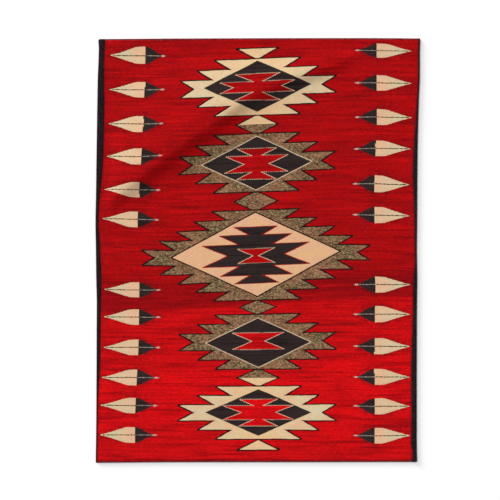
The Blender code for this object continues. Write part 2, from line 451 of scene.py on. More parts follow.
weftBeads = makeWeaveGroup()
yarnStreaks = makeStreakGroup()
heather = makeHeatherGroup()
teethRows = makeTeethGroup()
serration = makeSerrationGroup(teethRows)
rhombus = makeRhombusGroup()
tier = makeTierGroup()
feather = makeFeatherGroup(featherSettings)

dyes = {
    "red": "ac0a0d",
    "redDark": "9a090d",
    "redDeep": "66050a",
    "redBright": "ca0c10",
    "scarlet": "d60c11",
    "black": "221918",
    "blackSoft": "2f2625",
    "outline": "1f0f11",
    "maroon": "4e0b12",
    "cream": "d6b08c",
    "creamPale": "d2c39c",
    "creamWarm": "e2b886",
    "peach": "d9a886",
    "peachGold": "deb07e",
    "featherRose": "deae8a",
    "featherPale": "ccbc99",
    "line": "dcb59c",
    "lineCool": "c8c09c",
    "quill": "e6a29c",
    "greyDark": "33241c",
    "greyBrown": "7f5c40",
    "greyPale": "b09474",
    "greyRose": "94664c",
    "greyOlive": "7a704b",
    "rib": "33220f",
    "ribPale": "94897c",
}

# The cloth's figures. A row runs from a diamond's middle outwards, the same above and below it.
clothSettings = {
    "edgeAcross": 0.0108,
    "edgeAlong": 0.0045,
    "lineAcross": 0.0048,
    "lineAlong": 0.0024,
    "toothStep": 0.0667,
    "toothRun": 0.0600,
    "handSlip": 0.0045,  # how far the weaver's hand strays from the rule
    "slipScale": 8.5,
    # The red's dye lots: share of the length from the bottom end, dye
    "lots": [(0.0, "redBright"), (0.05, "redBright"), (0.11, "scarlet"), (0.22, "scarlet"),
             (0.255, "redBright"), (0.369, "redBright"), (0.379, "redDark"), (0.42, "redDark"),
             (0.46, "red"), (1.0, "red")],
    "halfLength": 0.82,
    "lotSlant": 0.048,
    "lotWander": 0.03,
    "deepShare": 0.62,
    "glowShare": 0.5,
    "mottleScale": (8.0, 20.0),  # across, along
    "mottleShare": 0.42,
    "fleckSize": (0.013, 0.0055),
    # How far the painted edge shade reaches in, the strength of it and of the maroon round the feathers, and
    # the blotches' scale
    "rimReach": 0.0085,
    "haloAndEdgeShade": 0.62,
    "blotchScale": 48.0,
    "ribDash": 0.006,
    "ageingScale": 16.0,
    "tuft": 0.0056,
    "reliefDepth": 0.0007,
    "diamonds": [
        {"center": 0.6191, "rows": 3, "firstRow": 0.0311, "rowHeight": 0.0371, "tip": 0.2899, "fill": "cream",
         "heart": (0.6218, 0.2046, 0.0970), "heartFill": "black", "heartEdge": None,
         "figure": 0.6189, "figureFill": "red", "figureEdge": "line",
         "tiers": [(0.0, 0.0197, 0.0890, 0.1383), (0.0197, 0.0493, 0.0140, 0.0826)]},
        {"center": 0.3319, "rows": 3, "firstRow": 0.0320, "rowHeight": 0.0382, "tip": 0.2899, "fill": "grey",
         "heart": (0.3304, 0.2065, 0.1004), "heartFill": "black", "heartEdge": "line",
         "figure": 0.3281, "figureFill": "red", "figureEdge": "line",
         "tiers": [(0.0, 0.0311, 0.0451, 0.1156), (0.0311, 0.0580, 0.0152, 0.0720)]},
        {"center": -0.0178, "rows": 5, "firstRow": 0.0270, "rowHeight": 0.0353, "tip": 0.4256, "fill": "grey",
         "heart": (-0.0148, 0.3152, 0.1569), "heartFill": "peach", "heartEdge": "outline",
         "heartLine": 0.0105,
         "figure": -0.0171, "figureFill": "black", "figureEdge": "red",
         "tiers": [(0.0, 0.0398, 0.1050, 0.1982), (0.0398, 0.0758, 0.0591, 0.1315),
                   (0.0758, 0.1057, 0.0201, 0.0769)],
         "inner": -0.0201, "innerTier": (0.0, 0.0265, 0.0083, 0.0667)},
        {"center": -0.3459, "rows": 3, "firstRow": 0.0299, "rowHeight": 0.0360, "tip": 0.2899, "fill": "grey",
         "heart": (-0.3493, 0.1970, 0.0928), "heartFill": "black", "heartEdge": "line",
         "figure": -0.3433, "figureFill": "red", "figureEdge": "line",
         "tiers": [(0.0, 0.0307, 0.0227, 0.0943)]},
        {"center": -0.6150, "rows": 3, "firstRow": 0.0292, "rowHeight": 0.0350, "tip": 0.2899,
         "fill": "cream",
         "heart": (-0.6142, 0.2020, 0.0890), "heartFill": "black", "heartEdge": None,
         "figure": -0.6146, "figureFill": "red", "figureEdge": "line",
         "tiers": [(0.0, 0.0261, 0.0625, 0.1303), (0.0261, 0.0504, 0.0152, 0.0690)]},
    ],
    # The small lozenges between the diamonds: center, half width, half height, upper and lower fill
    "links": [
        (0.7645, 0.0710, 0.0395, None, "cream"),
        (0.4761, 0.0743, 0.0366, "cream", "grey"),
        (0.1864, 0.0777, 0.0366, "grey", "grey"),
        (-0.2152, 0.0655, 0.0256, "grey", "grey"),
        (-0.4816, 0.0746, 0.0328, "grey", "cream"),
        (-0.7550, 0.0710, 0.0352, "cream", None),
    ],
}


def startMaterial(name):
    material = bpy.data.materials.new(name)
    material.use_nodes = True
    tree = material.node_tree
    shader = tree.nodes["Principled BSDF"]
    shader.inputs["Specular IOR Level"].default_value = 0.02
    shader.inputs["Sheen Weight"].default_value = 0.012
    shader.inputs["Sheen Roughness"].default_value = 0.6
    return material, tree, shader


def weavePlace(tree):
    spot = addNode(tree, "ShaderNodeUVMap", uv_map="weave")
    parts = addNode(tree, "ShaderNodeSeparateXYZ", {0: spot.outputs[0]})
    return spot, Wire(tree, parts.outputs[0]), Wire(tree, parts.outputs[1])


def finishWool(tree, shader, color, relief, depth, roughness):
    feed(tree, shader.inputs["Base Color"], color)
    feed(tree, shader.inputs["Roughness"], roughness)
    bump = addNode(tree, "ShaderNodeBump", {"Height": relief, "Distance": depth, "Strength": 0.8})
    feed(tree, shader.inputs["Normal"], bump.outputs[0])


# The cloth's own wool: the field, the diamonds and the feathers, woven bead by bead.
def makeClothMaterial(settings):
    material, tree, shader = startMaterial("wovenWool")
    spot, across, along = weavePlace(tree)
    beads = place(tree, weftBeads, {"Across": across, "Along": along})
    slip = noise(tree, spot.outputs[0], settings["slipScale"], 1.0, 0.5, "Color")
    slipParts = addNode(tree, "ShaderNodeSeparateXYZ", {0: slip})
    u = beads["Across"] + (Wire(tree, slipParts.outputs[0]) - 0.5) * settings["handSlip"]
    v = beads["Along"] + (Wire(tree, slipParts.outputs[1]) - 0.5) * settings["handSlip"]
    a = calc(tree, "ABSOLUTE", u)

    # The red field, in dye lots that change along the length
    streaks = place(tree, yarnStreaks, {"Across": across, "Along": along, "Bead": beads["Bead"]})
    lots = addNode(tree, "ShaderNodeValToRGB")
    lotPlace = along - across * settings["lotSlant"] + (streaks["Broad"] - 0.5) * settings["lotWander"]
    feed(tree, lots.inputs[0], (lotPlace + settings["halfLength"]) / (2 * settings["halfLength"]))
    ramp = lots.color_ramp
    ramp.interpolation = "LINEAR"
    stops = settings["lots"]
    ramp.elements[0].position, ramp.elements[0].color = stops[0][0], dye(dyes[stops[0][1]])
    ramp.elements[1].position, ramp.elements[1].color = stops[-1][0], dye(dyes[stops[-1][1]])
    for position, code in stops[1:-1]:
        ramp.elements.new(position).color = dye(dyes[code])
    deep = clamped(streaks["Streak"], -3.6, 2.05)
    red = paint(deep * settings["deepShare"], Wire(tree, lots.outputs[0]), dye(dyes["redDeep"]))
    glow = clamped(streaks["Streak"], 5.0, -3.0)
    red = paint(glow * settings["glowShare"], red, dye(dyes["scarlet"]))
    mottleAcross, mottleAlong = settings["mottleScale"]
    mottle = noise(tree, vectorOf(tree, across * mottleAcross, along * mottleAlong, 7.0), 1.0, 2.0, 0.5)
    red = paint(clamped(mottle, -2.8, 1.45) * settings["mottleShare"], red, dye(dyes["redDeep"]))

    # The red darkens to maroon in blotches round the feathers, and as painted shade along the field's edges,
    # beside the bindings and end cords
    b = smallest(*[distanceTo(v, row) for row in featherSettings["rows"]])
    dashes = clamped(noise(tree, vectorOf(tree, u / settings["ribDash"], b * 20.0, 2.0), 1.0, 0.0), 5.0, -2.0)
    plume = place(tree, feather, {"A": a, "B": b, "Rib": featherSettings["rib"], "Dash": dashes})
    blotch = clamped(noise(tree, spot.outputs[0], settings["blotchScale"], 2.0, 0.6), 3.6, -1.35)
    # Painted shade: the red darkens within rimReach of every edge of the field
    room = addNode(tree, "ShaderNodeAttribute", attribute_name="edgeRoom")
    rim = clamped(Wire(tree, room.outputs["Fac"]), -1 / settings["rimReach"], 1.0)
    haloAndEdgeShade = largest(plume["Halo"] * blotch, rim * (blotch * 0.6 + 0.4))
    red = paint(haloAndEdgeShade * settings["haloAndEdgeShade"], red, dye(dyes["maroon"]))
    fleckAcross, fleckAlong = settings["fleckSize"]
    fleck = noise(tree, vectorOf(tree, across / fleckAcross, along / fleckAlong, 31.0), 1.0, 2.0, 0.6)
    fleck = between(clamped(fleck, 2.6, -0.8), 0.82, 1.18)
    red = toned(red, fleck)

    # The other wools
    ageing = noise(tree, spot.outputs[0], settings["ageingScale"], 2.0, 0.6)
    turn = clamped(ageing, 3.0, -1.0)
    cream = paint(turn, dye(dyes["creamPale"]), dye(dyes["cream"]))
    cream = paint(clamped(a, -5.0, 1.0) * 0.7, cream, dye(dyes["creamWarm"]))
    shades = {name: dye(dyes["grey" + name]) for name in ("Dark", "Brown", "Rose", "Olive", "Pale")}
    grey = place(tree, heather, {"Across": across, "Along": along, "Bead": beads["Bead"], **shades,
                                 "Tuft": settings["tuft"]})["Color"]
    black = paint(deep, dye(dyes["blackSoft"]), dye(dyes["black"]))
    wools = {"red": red, "cream": cream, "grey": grey, "black": black, "outline": dye(dyes["outline"]),
             "line": paint(turn, dye(dyes["lineCool"]), dye(dyes["line"])),
             "peach": paint(turn * 0.8, dye(dyes["peach"]), dye(dyes["peachGold"]))}

    # The lozenges first, then each diamond over them
    color = red
    edges = {"Edge Across": settings["edgeAcross"]}
    for center, halfWidth, halfHeight, upper, lower in settings["links"]:
        b = distanceTo(v, center)
        shape = place(tree, rhombus, {"A": a, "B": b, "Half Width": halfWidth, "Half Height": halfHeight,
                                      **edges})
        above = v > center
        overall = {"upper": above, "lower": 1.0 - above}
        fill, edge = shape["Fill"], shape["Edge"]
        if upper is None or lower is None:
            side = overall["lower"] if upper is None else overall["upper"]
            rim = distanceTo(v, center) < settings["edgeAlong"]
            edge = largest(edge * side, rim * (a < halfWidth + settings["edgeAcross"]))
            fill = fill * side
        color = paint(edge, color, wools["outline"])
        if upper == lower or upper is None or lower is None:
            color = paint(fill, color, wools[upper or lower])
        else:
            color = paint(fill * overall["upper"], color, wools[upper])
            color = paint(fill * overall["lower"], color, wools[lower])
            seam = (b < settings["lineAlong"] * 0.7) * beads["Odd Warp"]
            color = paint(seam * fill, color, dye(dyes["maroon"]))
    for diamond in settings["diamonds"]:
        b = distanceTo(v, diamond["center"])
        shape = place(tree, serration, {
            "A": a, "B": b, "Rows": diamond["rows"], "First Row": diamond["firstRow"],
            "Row Height": diamond["rowHeight"], "Tip": diamond["tip"],
            "Step": settings["toothStep"], "Run": settings["toothRun"], "Edge Across": settings["edgeAcross"],
            "Edge Along": settings["edgeAlong"]})
        color = paint(shape["Edge"], color, wools["outline"])
        color = paint(shape["Fill"], color, wools[diamond["fill"]])
        center, halfWidth, halfHeight = diamond["heart"]
        heart = place(tree, rhombus, {"A": a, "B": distanceTo(v, center), "Half Width": halfWidth,
                                      "Half Height": halfHeight,
                                      "Edge Across": diamond.get("heartLine", settings["lineAcross"] * 1.3)})
        if diamond["heartEdge"]:
            color = paint(heart["Edge"], color, wools[diamond["heartEdge"]])
        color = paint(heart["Fill"], color, wools[diamond["heartFill"]])
        b = distanceTo(v, diamond["figure"])
        bands = []
        solidEdge = diamond["figureEdge"] == "red"
        for near, far, innerWidth, outerWidth in diamond["tiers"]:
            bands.append(place(tree, tier, {
                "A": a, "B": b, "From": near, "To": far, "Inner Width": innerWidth, "Outer Width": outerWidth,
                "Edge Across": settings["lineAcross"] * (1.5 if solidEdge else 1.0),
                "Edge Along": settings["lineAlong"], "Dash": 1.0 if solidEdge else beads["Odd Warp"]}))
        color = paint(largest(*[band["Edge"] for band in bands]), color, wools[diamond["figureEdge"]])
        color = paint(largest(*[band["Fill"] for band in bands]), color, wools[diamond["figureFill"]])
        if "inner" in diamond:
            near, far, innerWidth, outerWidth = diamond["innerTier"]
            band = place(tree, tier, {
                "A": a, "B": distanceTo(v, diamond["inner"]), "From": near, "To": far,
                "Inner Width": innerWidth, "Outer Width": outerWidth, "Edge Across": settings["lineAcross"],
                "Edge Along": settings["lineAlong"], "Dash": beads["Odd Warp"]})
            color = paint(band["Edge"], color, wools["line"])
            color = paint(band["Fill"], color, wools["red"])

    # The feathers, paler towards the tip
    rosy = clamped(ageing * 0.6 + plume["From Tip"] * 0.8, 2.4, -1.0)
    light = paint(rosy, dye(dyes["featherPale"]), dye(dyes["featherRose"]))
    color = paint(plume["Light"], color, light)
    color = paint(plume["Dark"], color, black)
    color = paint(plume["Quill"], color, dye(dyes["quill"]))
    color = paint(plume["Dark Rib"], color, dye(dyes["rib"]))
    color = paint(plume["Pale Rib"], color, dye(dyes["ribPale"]))

    # Every bead a little lighter or darker than its neighbours, and painted shade in the hollows between
    # beads and ribs
    tone = between(beads["Bead"], 0.90, 1.08) * between(beads["Relief"], 0.86, 1.04)
    color = toned(color, tone)
    finishWool(tree, shader, color, beads["Relief"], settings["reliefDepth"],
               between(streaks["Streak"], 0.80, 0.98))
    return material


clothWool = makeClothMaterial(clothSettings)
print("cloth's wool mixed:", len(clothWool.node_tree.nodes), "nodes")


# The binding's wool: black, with a grain that runs along the strip.
bindingSettings = {
    "sectionStep": 0.003,
    "thickness": 0.0047,
    "edgeRounding": 0.0014,
    "crown": 0.0002,
    "lap": 0.0009,  # over the cloth's edge
    "lapWave": 0.0009,
    "lapPitch": 0.0095,
    "clothTop": 0.0040,
    "narrow": 0.0055,  # a strip up to this wide, and somewhat over it, is maroon
    "endRounding": 0.002,
    "pathStep": 0.01,
    "pathEnd": 0.006,
    "stitchInset": 0.0004,
    "stitchPitch": 0.0095,
    "stitchLength": 0.0058,
    "stitchRadius": 0.0006,
    "seed": 7,
}


def makeBindingMaterial(name, light, dark):
    material, tree, shader = startMaterial(name)
    spot, across, along = weavePlace(tree)
    beads = place(tree, weftBeads, {"Across": along, "Along": across, "Warp Pitch": 0.0042,
                                    "Bead Height": 0.0011})
    streaks = place(tree, yarnStreaks, {"Across": along, "Along": across, "Length": 0.05, "Width": 0.0022,
                                        "Bead": beads["Bead"], "Bead Share": 0.25})
    tuft = noise(tree, spot.outputs[0], 90.0, 3.0, 0.6)
    worn = clamped(streaks["Streak"] * 0.6 + tuft * 0.4, 4.0, -1.6)
    color = paint(worn, dye(dark), dye(light))
    plum = noise(tree, spot.outputs[0], 34.0, 1.0, 0.5)
    color = paint(clamped(plum, 4.0, -2.1) * 0.4, color, dye("2d1d26"))
    narrow = addNode(tree, "ShaderNodeAttribute", attribute_name="narrow")
    color = paint(Wire(tree, narrow.outputs["Fac"]) * 0.7, color, dye("3c0f14"))
    relief = beads["Relief"] * 0.7 + streaks["Streak"] * 0.6
    finishWool(tree, shader, color, relief, 0.0006, between(worn, 0.82, 0.97))
    return material


bindingWool = makeBindingMaterial("bindingWool", "2c2324", "130c0d")


def makeYarnMaterial(name, light, dark):
    # Plied yarn, with its fuzz and its worn patches
    material, tree, shader = startMaterial(name)
    spot = addNode(tree, "ShaderNodeTexCoord")
    fuzz = noise(tree, spot.outputs["Object"], 700.0, 3.0, 0.65)
    patch = noise(tree, spot.outputs["Object"], 60.0, 2.0, 0.5)
    tone = clamped(fuzz * 0.6 + patch * 0.4, 3.6, -1.3)
    color = paint(tone, dye(dark), dye(light))
    finishWool(tree, shader, color, fuzz, 0.0004, between(fuzz, 0.78, 0.98))
    return material


stitchWool = makeYarnMaterial("stitchWool", "2c2223", "120c0d")
cordWool = makeYarnMaterial("cordWool", "8e0c13", "46070c")


# Outlines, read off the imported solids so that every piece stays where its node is.
def nodePoints(name):
    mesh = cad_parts[name].data
    points = np.empty(len(mesh.vertices) * 3)
    mesh.vertices.foreach_get("co", points)
    return points.reshape(-1, 3)


def lookUp(points, position, value):
    points = points[np.argsort(points[:, position])]
    return lambda at: np.interp(at, points[:, position], points[:, value])


outlineSettings = {"ring": 0.0012, "fieldRings": (0.0012, 0.0028), "sideFrom": 0.55, "endFrom": 0.78}


def fieldOutline(settings):
    points = nodePoints("woven_field")
    rings = []
    for level in settings["fieldRings"]:
        ring = points[np.abs(points[:, 2] - level) < 1e-5]
        rings.append({(round(x, 4), round(y, 4)): (x, y) for x, y, _ in ring})
    rim = np.array([rings[0][key] for key in sorted(set(rings[0]) & set(rings[1]))])
    side, end = settings["sideFrom"], settings["endFrom"]
    return {
        "left": lookUp(rim[rim[:, 0] < -side], 1, 0),
        "right": lookUp(rim[rim[:, 0] > side], 1, 0),
        "top": lookUp(rim[rim[:, 1] > end], 0, 1),
        "bottom": lookUp(rim[rim[:, 1] < -end], 0, 1),
        "low": rim[:, 1].min(),
        "high": rim[:, 1].max(),
    }


field = fieldOutline(outlineSettings)

# The cloth as it lies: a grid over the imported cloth, its thickness, and the rounded rim.
sheetSettings = {
    "columns": 150,
    "rows": 200,
    "thickness": 0.0040,
    "rimRounding": 0.0012,
    "rimSteps": 3,
    "smoothing": 3,
    "edgeEase": 0.05,
    "swellBend": 0.25,
    # Soft swells in the cloth: x, y, direction in degrees, half length, half width, height
    "swells": [
        (-0.30, 0.62, 20.0, 0.30, 0.060, 0.0008),
        (0.34, 0.50, 35.0, 0.26, 0.050, 0.0009),
        (-0.42, -0.02, 80.0, 0.30, 0.055, 0.0007),
        (0.42, 0.05, 95.0, 0.34, 0.050, 0.0008),
        (0.05, -0.30, 5.0, 0.40, 0.055, 0.0006),
        (-0.35, -0.56, -20.0, 0.28, 0.060, 0.0008),
        (0.36, -0.50, 30.0, 0.30, 0.060, 0.0008),
    ],
}

# How the pattern strays from square along the rug's length. The weft climbs to the right, and the
# outer columns lean in or out.
strayRows = np.array([
    # y, middle's drift, weft's rise, left lean, right lean, outer columns' extra rise
    (0.801, -0.001, 0.002, -0.021, 0.006, 0.0006),
    (0.736, -0.001, 0.013, -0.021, 0.006, 0.0006),
    (0.620, -0.001, 0.013, -0.018, 0.006, 0.0030),
    (0.479, -0.003, 0.011, -0.014, 0.009, 0.0040),
    (0.330, -0.004, 0.011, -0.008, 0.003, 0.0075),
    (0.229, -0.007, 0.011, -0.003, 0.003, 0.0013),
    (0.120, -0.009, 0.011, 0.001, 0.006, -0.0019),
    (-0.017, -0.007, 0.012, 0.001, 0.000, 0.0000),
    (-0.139, -0.003, 0.011, 0.000, 0.004, 0.0021),
    (-0.188, -0.002, 0.007, 0.002, 0.001, 0.0014),
    (-0.300, 0.001, 0.005, 0.006, -0.003, 0.0000),
    (-0.377, 0.002, 0.003, 0.009, -0.004, -0.0004),
    (-0.510, 0.002, 0.002, 0.016, -0.004, -0.0010),
    (-0.612, 0.002, 0.001, 0.021, -0.004, -0.0030),
    (-0.756, 0.002, 0.000, 0.022, -0.005, -0.0013),
])
riseProfile = np.array([(0.0, 0.0), (0.152, 0.5), (0.303, 1.0), (0.443, 0.85), (0.587, 0.6)])
leanFrom, leanTo = 0.19, 0.435
outerFrom, outerTo = 0.32, 0.43


def patternPlace(x, y):
    rows = strayRows[::-1]
    drift, rise, leftLean, rightLean, outerRise = (np.interp(y, rows[:, 0], rows[:, i]) for i in range(1, 6))
    x = x - drift
    share = np.clip((np.abs(x) - leanFrom) / (leanTo - leanFrom), 0, 1)
    share = share * share * (3 - 2 * share)
    u = x + np.where(x < 0, leftLean, -rightLean) * share
    climb = np.sign(x) * np.interp(np.abs(x), riseProfile[:, 0], riseProfile[:, 1])
    outerClimb = np.sign(x) * np.interp(np.abs(x), [outerFrom, outerTo], [0, 1])
    return u, y - rise * climb - outerRise * outerClimb


def clothPoint(s, t, inset):
    y = field["low"] + (field["high"] - field["low"]) * t
    x = 0.0
    for _ in range(3):
        x = (field["left"](y) + inset) * (1 - s) + (field["right"](y) - inset) * s
        y = (field["bottom"](x) + inset) * (1 - t) + (field["top"](x) - inset) * t
    return x, y


def edgeRoom(x, y):
    return np.minimum.reduce([x - field["left"](y), field["right"](y) - x,
                              field["top"](x) - y, y - field["bottom"](x)])


def clothHeights(x, y, settings):
    mesh = bmesh.new()
    mesh.from_mesh(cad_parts["woven_field"].data)
    solid = BVHTree.FromBMesh(mesh)
    mesh.free()
    height = np.zeros(x.shape)
    for index in np.ndindex(x.shape):
        hit = solid.ray_cast(Vector((x[index], y[index], 0.1)), Vector((0.0, 0.0, -1.0)))[0]
        height[index] = max(0.0, hit.z - settings["thickness"]) if hit else 0.0
    for _ in range(settings["smoothing"]):
        wide = np.pad(height, 1, mode="edge")
        height = (4 * height + wide[:-2, 1:-1] + wide[2:, 1:-1] + wide[1:-1, :-2] + wide[1:-1, 2:]) / 8
    room = np.clip(edgeRoom(x, y) / settings["edgeEase"], 0, 1)
    for centerX, centerY, direction, halfLength, halfWidth, rise in settings["swells"]:
        turn = math.radians(direction)
        alongIt = (x - centerX) * math.cos(turn) + (y - centerY) * math.sin(turn)
        acrossIt = (y - centerY) * math.cos(turn) - (x - centerX) * math.sin(turn)
        acrossIt = acrossIt + settings["swellBend"] * alongIt ** 2 / halfLength
        height += rise * np.exp(-(alongIt / halfLength) ** 2 - (acrossIt / halfWidth) ** 2)
    return height * room * room * (3 - 2 * room)


def makeCloth(settings):
    columns, rows = settings["columns"], settings["rows"]
    thickness, rounding = settings["thickness"], settings["rimRounding"]
    s, t = np.meshgrid(np.linspace(0, 1, columns + 1), np.linspace(0, 1, rows + 1))
    x, y = clothPoint(s, t, rounding)
    height = clothHeights(x, y, settings)
    count = (columns + 1) * (rows + 1)
    number = np.arange(count).reshape(rows + 1, columns + 1)
    rim = np.concatenate([number[0, :-1], number[:-1, -1], number[-1, :0:-1], number[:0:-1, 0]])
    outX, outY = clothPoint(s, t, 0.0)
    layers = [np.column_stack([x.ravel(), y.ravel(), height.ravel()]),
              np.column_stack([x.ravel(), y.ravel(), height.ravel() + thickness])]
    low, high = rim, rim + count
    rings = [low]
    turns = [math.pi / 2 * i / settings["rimSteps"] for i in range(1, settings["rimSteps"] + 1)]
    levels = [(math.sin(turn), rounding * (1 - math.cos(turn))) for turn in turns]
    levels += [(share, thickness - z) for share, z in reversed(levels)]
    start = 2 * count
    for share, z in levels:
        ringX = x.ravel()[rim] + (outX.ravel()[rim] - x.ravel()[rim]) * share
        ringY = y.ravel()[rim] + (outY.ravel()[rim] - y.ravel()[rim]) * share
        layers.append(np.column_stack([ringX, ringY, np.full(len(rim), z)]))
        rings.append(np.arange(start, start + len(rim)))
        start += len(rim)
    rings.append(high)
    points = np.concatenate(layers)
    a, b = number[:-1, :-1].ravel(), number[:-1, 1:].ravel()
    c, d = number[1:, 1:].ravel(), number[1:, :-1].ravel()
    faces = [np.column_stack([a, d, c, b]), np.column_stack([a, b, c, d]) + count]
    for lower, upper in zip(rings, rings[1:]):
        faces.append(np.column_stack([lower, np.roll(lower, -1), np.roll(upper, -1), upper]))
    faces = np.concatenate(faces)
    data = bpy.data.meshes.new("cloth")
    data.from_pydata(points.tolist(), [], faces.tolist())
    u, v = patternPlace(points[:, 0], points[:, 1])
    corners = faces.ravel()
    weave = data.uv_layers.new(name="weave")
    weave.data.foreach_set("uv", np.column_stack([u, v])[corners].ravel())
    span = points.max(0) - points.min(0)
    flat = (points - points.min(0))[:, :2] / span[:2]
    bake = data.uv_layers.new(name="OFBake")
    bake.data.foreach_set("uv", flat[corners].ravel())
    data.uv_layers.active = weave
    room = data.attributes.new("edgeRoom", "FLOAT", "POINT")
    room.data.foreach_set("value", np.clip(edgeRoom(points[:, 0], points[:, 1]), 0, settings["edgeEase"]))
    data.shade_smooth()
    data.materials.append(clothWool)
    return addObject("cloth", data)


cloth = makeCloth(sheetSettings)
print("cloth laid:", len(cloth.data.polygons), "faces")


# The black strips along the two long sides.
def bindingLines(name, side):
    points = nodePoints(name)
    ring = points[np.abs(points[:, 2] - outlineSettings["ring"]) < 1e-5]
    edge = field["left"] if side < 0 else field["right"]
    inside = np.abs(ring[:, 0] - edge(ring[:, 1])) < 0.0011
    return lookUp(ring[~inside], 1, 0), lookUp(ring[inside], 1, 0), ring[:, 1].min(), ring[:, 1].max()


def bindingProfile(width, lap, settings):
    # Across the strip from its outer edge, and up from the floor
    r, top = settings["edgeRounding"], settings["thickness"]
    r = min(r, width * 0.45)
    over = settings["clothTop"] + 0.0001
    turns = np.radians([-90, -60, -30, 0, 30, 60, 90])
    outer = [(r - r * math.cos(turn), top / 2 + top / 2 * math.sin(turn)) for turn in turns]
    inner = width + lap
    crown = top + settings["crown"]
    return outer + [
        (r + (width - r) * 0.33, crown),
        (r + (width - r) * 0.66, crown),
        (inner - 0.0007, top),
        (inner - 0.0001, top - 0.0002),
        (inner, over + 0.0001),
        (inner - 0.0003, over),
        (width + 0.0001, over),
        (width, over - 0.0004),
        (width, 0.0004),
        (width - 0.0004, 0.0),
    ]


def makeBinding(name, node, side, settings):
    outerLine, innerLine, low, high = bindingLines(node, side)
    chance = np.random.default_rng(settings["seed"] + side)
    count = int((high - low) / settings["sectionStep"])
    stations = np.linspace(low, high, count + 1)
    jitter = chance.uniform(-1, 1, count + 1)
    mesh = bmesh.new()
    uvLayer = mesh.loops.layers.uv.new("weave")
    rings, across, narrowness = [], [], []
    for i, y in enumerate(stations):
        outerX, innerX = float(outerLine(y)), float(innerLine(y))
        width = abs(innerX - outerX)
        wave = math.sin(2 * math.pi * y / settings["lapPitch"]) * 0.6 + jitter[i] * 0.4
        lap = settings["lap"] + settings["lapWave"] * wave
        profile = bindingProfile(width, max(0.0004, lap), settings)
        near = min(y - low, high - y)
        squeeze = math.sqrt(max(0.02, 1 - (1 - min(1.0, near / settings["endRounding"])) ** 2))
        middle = settings["thickness"] / 2
        ring = [mesh.verts.new((outerX - side * q, y, middle + (z - middle) * squeeze)) for q, z in profile]
        rings.append(ring)
        across.append([q for q, _ in profile])
        narrowness += [min(1.0, max(0.0, 1 - (width - settings["narrow"]) / settings["narrow"]))] * len(ring)
    size = len(rings[0])
    for i in range(len(rings) - 1):
        for k in range(size):
            m = (k + 1) % size
            face = mesh.faces.new((rings[i][k], rings[i][m], rings[i + 1][m], rings[i + 1][k]))
            for loop, (row, spot) in zip(face.loops, ((i, k), (i, m), (i + 1, m), (i + 1, k))):
                loop[uvLayer].uv = (across[row][spot], stations[row])
    for ring, flip in ((rings[0], True), (rings[-1], False)):
        face = mesh.faces.new(ring if flip else ring[::-1])
        for loop in face.loops:
            loop[uvLayer].uv = (loop.vert.co.x, loop.vert.co.y)
    bmesh.ops.recalc_face_normals(mesh, faces=mesh.faces)
    data = bpy.data.meshes.new(name)
    mesh.to_mesh(data)
    mesh.free()
    narrow = data.attributes.new("narrow", "FLOAT", "POINT")
    narrow.data.foreach_set("value", narrowness)
    data.shade_smooth()
    data.materials.append(bindingWool)
    strip = addObject(name, data)
    ends = settings["pathEnd"]
    inside = [(float(innerLine(y)) - side * settings["stitchInset"], float(y), settings["thickness"])
              for y in np.arange(low + ends, high - ends, settings["pathStep"])]
    return strip, inside


def polyLine(name, points):
    data = bpy.data.curves.new(name, "CURVE")
    data.dimensions = "3D"
    spline = data.splines.new("POLY")
    spline.points.add(len(points) - 1)
    for point, spot in zip(spline.points, points):
        point.co = (*spot, 1.0)
    return addObject(name, data)


def applyTree(path, tree, values, name):
    # The node tree's result on the path, as a plain mesh object of its own
    modifier = path.modifiers.new("tree", "NODES")
    modifier.node_group = tree
    for item in tree.interface.items_tree:
        if item.in_out == "INPUT" and item.name in values:
            modifier[item.identifier] = values[item.name]
    graph = bpy.context.evaluated_depsgraph_get()
    data = bpy.data.meshes.new_from_object(path.evaluated_get(graph), depsgraph=graph)
    data.name = name
    made = addObject(name, data)
    path.modifiers.remove(modifier)
    bpy.data.objects.remove(path, do_unlink=True)
    return made


def endGeometry(tree, geometry, material):
    real = addNode(tree, "GeometryNodeRealizeInstances", {"Geometry": geometry})
    smooth = addNode(tree, "GeometryNodeSetShadeSmooth", {"Geometry": real.outputs[0]})
    colored = addNode(tree, "GeometryNodeSetMaterial", {"Geometry": smooth.outputs[0], "Material": material})
    return endGroup(tree, Geometry=colored.outputs[0])


